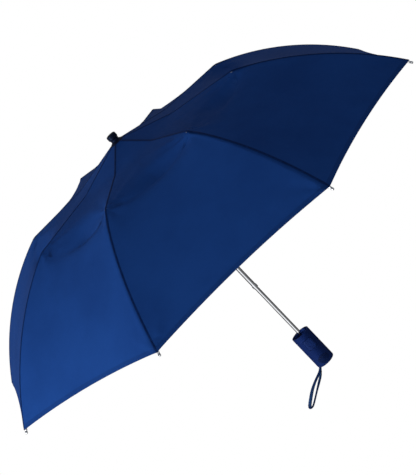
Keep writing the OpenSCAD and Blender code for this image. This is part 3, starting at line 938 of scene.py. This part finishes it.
def build_button():
    """Push button: a rounded pad that follows the grip's round face, with a soft dished middle
    and three low grip bars."""
    w, h, r = 17 * MM, 20 * MM, 4 * MM
    loops = 26
    ring = rounded_ring(w, h, r, 24, endpoint=False)
    bm = bmesh.new()
    rows = []

    def surface(x, z, share):
        """share is 0 at the rim and 1 in the middle."""
        y = math.sqrt((GRIP_R + 0.0006) ** 2 - x * x)
        edge = min(share / 0.12, 1)
        y -= 0.0008 * (1 - math.sqrt(max(1 - (1 - edge) ** 2, 0)))
        y -= 0.0006 * step_in(share, 0.18, 0.75)
        for bar in (-4.2, 0, 4.2):
            y += 0.00042 * bell(z - bar * MM, 0.0009) * (1 - step_in(abs(x), 0.0045, 0.0058))
        return y

    rows.append([bm.verts.new((x, -0.0096, z + BUTTON_Z)) for x, z in ring])
    for i in range(loops):
        share = (i / loops) ** 1.35
        inset = [(x * (1 - share), z * (1 - share)) for x, z in ring]
        rows.append([bm.verts.new((x, -surface(x, z, share), z + BUTTON_Z)) for x, z in inset])
    for low, high in zip(rows, rows[1:]):
        for i in range(len(ring)):
            j = (i + 1) % len(ring)
            bm.faces.new([low[i], low[j], high[j], high[i]])
    tip = bm.verts.new((0, -surface(0, 0, 1), BUTTON_Z))
    for i in range(len(ring)):
        bm.faces.new([rows[-1][i], rows[-1][(i + 1) % len(ring)], tip])
    bm.faces.new(rows[0])
    bmesh.ops.recalc_face_normals(bm, faces=bm.faces)
    mesh = bpy.data.meshes.new("button_pad")
    bm.to_mesh(mesh)
    bm.free()
    mesh.shade_smooth()
    mesh.set_sharp_from_angle(angle=math.radians(40))
    button = new_object("button_pad", mesh, BUTTON)
    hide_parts("release_button")
    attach(button, "button")


def smooth_path(points, step):
    """Evenly spaced points on a Catmull-Rom curve through the given ones."""
    pts = [Vector(p) for p in points]
    pts = [pts[0] * 2 - pts[1], *pts, pts[-1] * 2 - pts[-2]]
    dense = []
    for a, b, c, d in zip(pts, pts[1:], pts[2:], pts[3:]):
        for i in range(12):
            t = i / 12
            dense.append(0.5 * ((2 * b) + (c - a) * t + (2 * a - 5 * b + 4 * c - d) * t * t
                                + (3 * b - a - 3 * c + d) * t**3))
    dense.append(pts[-2])
    run = [0.0]
    for a, b in zip(dense, dense[1:]):
        run.append(run[-1] + (b - a).length)
    count = round(run[-1] / step)
    out, j = [], 0
    for i in range(count + 1):
        d = run[-1] * i / count
        while j < len(run) - 2 and run[j + 1] < d:
            j += 1
        t = (d - run[j]) / max(run[j + 1] - run[j], 1e-12)
        out.append(dense[j].lerp(dense[j + 1], t))
    return out, run[-1]


def build_strap():
    """Braided cord: eight strands cross over and under round the line of the loop."""
    path, length = smooth_path([Vector(p) * MM for p in STRAP_ROUTE], 0.00045)
    sides, radius = 32, STRAP_D / 2
    up = Vector((0, 1, 0.2)).normalized()
    points, uvs, strand_shade = [], [], []
    tangent = None
    side = None
    for i, p in enumerate(path):
        ahead = (path[min(i + 1, len(path) - 1)] - path[max(i - 1, 0)]).normalized()
        if side is None:
            side = ahead.cross(up).normalized()
        else:
            side = (tangent.rotation_difference(ahead) @ side)
            side = (side - ahead * side.dot(ahead)).normalized()
        tangent = ahead
        other = ahead.cross(side)
        d = length * i / (len(path) - 1)
        # round where the two ends meet, flatter round the loop
        flat = 1 + 0.38 * step_in(min(d, length - d), 0.030, 0.060)
        for j in range(sides):
            a = 2 * math.pi * j / sides
            twist = math.pi * d / BRAID_PITCH
            crown = max(math.cos(STRANDS_EACH_WAY * (a + twist)),
                        math.cos(STRANDS_EACH_WAY * (a - twist)))
            over = 0.5 + 0.5 * crown
            r = radius * (0.92 + 0.08 * over)
            points.append(p + (side * math.cos(a) * flat + other * math.sin(a) / flat) * r)
            uvs.append((a / (2 * math.pi), d))
            # each strand's height also goes to the edge UV, where the material paints shade in the
            # valleys
            strand_shade.append(over)
    faces, uv, edge = [], [], []
    for i in range(len(path) - 1):
        for j in range(sides):
            m = (j + 1) % sides
            ids = [i * sides + j, i * sides + m, (i + 1) * sides + m, (i + 1) * sides + j]
            faces.append(ids)
            for n, q in enumerate(ids):
                u = uvs[q][0] + (1.0 if m == 0 and n in (1, 2) else 0.0)
                uv.append((u, uvs[q][1]))
                edge.append((strand_shade[q], 0.0))
    last = (len(path) - 1) * sides
    for ids in (list(range(sides))[::-1], [last + j for j in range(sides)]):
        faces.append(ids)
        uv.extend(uvs[q] for q in ids)
        edge.extend((strand_shade[q], 0.0) for q in ids)
    mesh = bpy.data.meshes.new("wrist_strap_braid")
    mesh.from_pydata(points, [], faces)
    mesh.uv_layers.new(name="weave").data.foreach_set("uv", np.array(uv, np.float32).ravel())
    mesh.uv_layers.new(name="edge").data.foreach_set("uv", np.array(edge, np.float32).ravel())
    mesh.shade_smooth()
    strap = new_object("wrist_strap_braid", mesh, BRAID)
    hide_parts("wrist_strap")
    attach(strap, "handle")


def build_tips():
    """Round-ended tips on the outer ribs, each with a groove and a neck."""
    chord = RIB_TIP - ELBOW
    span = float(np.linalg.norm(chord))
    radius = span**2 / (8 * RIB_SAG) + RIB_SAG / 2
    tilt = math.atan2(chord[1], chord[0]) - math.asin(span / (2 * radius))
    outline = [
        (0, -8.2), (1.7, -8.2), (2.1, -7.9), (2.1, -5.2), (1.95, -4.9), (1.95, -4.5), (2.1, -4.2),
        (2.1, -0.8), (1.6, 0.0), (1.6, 0.9), (2.1, 1.7), (2.25, 3.0), (2.0, 4.3), (1.3, 5.1),
        (0, 5.4),
    ]
    outline = [(r * MM, z * MM) for r, z in outline]
    for k in range(1, RIBS + 1):
        place = (
            Matrix.Rotation(rib_angle(k), 4, "Z")
            @ Matrix.Translation((RIB_TIP[0], 0, RIB_TIP[1]))
            @ Matrix.Rotation(math.pi / 2 - tilt, 4, "Y")
        )
        tip = lathe(f"rib_tip_{k}", rounded(outline, 0.0003, 3), 32, CHROME, place=place)
        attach(tip, f"outer_rib_arm_{k}")


def finish_nodes():
    """Gives the CAD parts that stay their own materials."""
    for name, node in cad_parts.items():
        if node.hide_render:
            continue
        if name in ("upper_tube", "lower_tube", "tube_bush"):
            material = CHROME
        elif name.startswith(("top_rib", "stretcher", "outer_rib", "tie_link")):
            material = RIB_STEEL
        elif name in ("grip_core", "cup_liner", "base_cap"):
            material = CUP
        elif name in ("top_notch", "runner"):
            material = HUB
        else:
            material = SPRING
        node.data.materials.clear()
        node.data.materials.append(material)


# ---------- light and floor ----------


def stage_material(name, light):
    """Plain white to the camera. light is what it gives off to lit surfaces."""
    n = Nodes(name)
    out = n.tree.nodes["Material Output"]
    see, glow = n.add("Emission"), n.add("Emission")
    n.put(see.inputs[0], (1, 1, 1, 1))
    n.put(see.inputs[1], 1.0)
    n.put(glow.inputs[0], (1, 1, 1, 1))
    # shiny parts see a bright card at the left, a grey one at the right, and dark behind
    spot = n.add("SeparateXYZ")
    n.put(spot.inputs[0], n.add("NewGeometry").outputs["Position"])
    bearing = n.math("ARCTAN2", spot.outputs[0], n.math("MULTIPLY", spot.outputs[1], -1.0))
    card = n.math("ADD", n.ramp(bearing, -1.35, -1.15, 0.02, 1.3),
                  n.ramp(bearing, -0.2, 0.0, 0.0, -1.1))
    card = n.math("ADD", card, n.ramp(bearing, 1.3, 1.5, 0.0, -0.18))
    path = n.add("LightPath")
    glossy = n.math("MULTIPLY", path.outputs["Is Glossy Ray"], n.math("SUBTRACT", card, light))
    n.put(glow.inputs[1], n.math("ADD", glossy, light))
    mix = n.add("MixShader")
    n.put(mix.inputs[0], path.outputs["Is Camera Ray"])
    n.put(mix.inputs[1], glow.outputs[0])
    n.put(mix.inputs[2], see.outputs[0])
    # nothing shows from below, so that the object can be looked at from there too
    below = n.add("MixShader")
    n.put(below.inputs[0], n.add("NewGeometry").outputs["Backfacing"])
    n.put(below.inputs[1], mix.outputs[0])
    n.put(below.inputs[2], n.add("BsdfTransparent").outputs[0])
    n.put(out.inputs[0], below.outputs[0])
    return n.m


def area_light(name, place, aim, size, power):
    lamp = bpy.data.objects.new(name, bpy.data.lights.new(name, "AREA"))
    lamp.data.energy = power
    lamp.data.shape = "RECTANGLE"
    lamp.data.size, lamp.data.size_y = size
    lamp.location = place
    lamp.rotation_euler = (Vector(aim) - Vector(place)).to_track_quat("-Z", "Y").to_euler()
    bpy.context.scene.collection.objects.link(lamp)


def set_stage():
    """White surroundings, floor and three soft lights, the brightest at the left."""
    bpy.context.scene.view_settings.view_transform = "Standard"
    world = bpy.data.worlds.new("studio")
    bpy.context.scene.world = world
    world.use_nodes = True
    tree = world.node_tree
    tree.nodes.clear()
    out = tree.nodes.new("ShaderNodeOutputWorld")
    mix = tree.nodes.new("ShaderNodeMixShader")
    see, glow = tree.nodes.new("ShaderNodeBackground"), tree.nodes.new("ShaderNodeBackground")
    see.inputs[0].default_value = (1, 1, 1, 1)
    see.inputs[1].default_value = 1.0
    glow.inputs[0].default_value = (0.86, 0.92, 1.0, 1)
    glow.inputs[1].default_value = 0.26
    path = tree.nodes.new("ShaderNodeLightPath")
    tree.links.new(path.outputs["Is Camera Ray"], mix.inputs[0])
    tree.links.new(glow.outputs[0], mix.inputs[1])
    tree.links.new(see.outputs[0], mix.inputs[2])
    tree.links.new(mix.outputs[0], out.inputs[0])

    bm = bmesh.new()
    bmesh.ops.create_grid(bm, x_segments=8, y_segments=8, size=12)
    mesh = bpy.data.meshes.new("floor")
    bm.to_mesh(mesh)
    bm.free()
    floor = new_object("floor", mesh, stage_material("floor_white", 0.2))
    floor.location.z = -0.16

    area_light("key", (-1.9, -1.0, 0.65), (-0.1, -0.1, 0.38), (0.9, 0.9), 38)
    area_light("front", (0.2, -3.2, 0.5), (0, 0, 0.2), (1.4, 1.4), 5)
    area_light("right", (2.4, -1.2, 1.2), (0, 0, 0.4), (1.4, 1.4), 5)


build_strap()
build_canopy()
build_ferrule()
build_grip()
build_button()
build_tips()
finish_nodes()
set_stage()
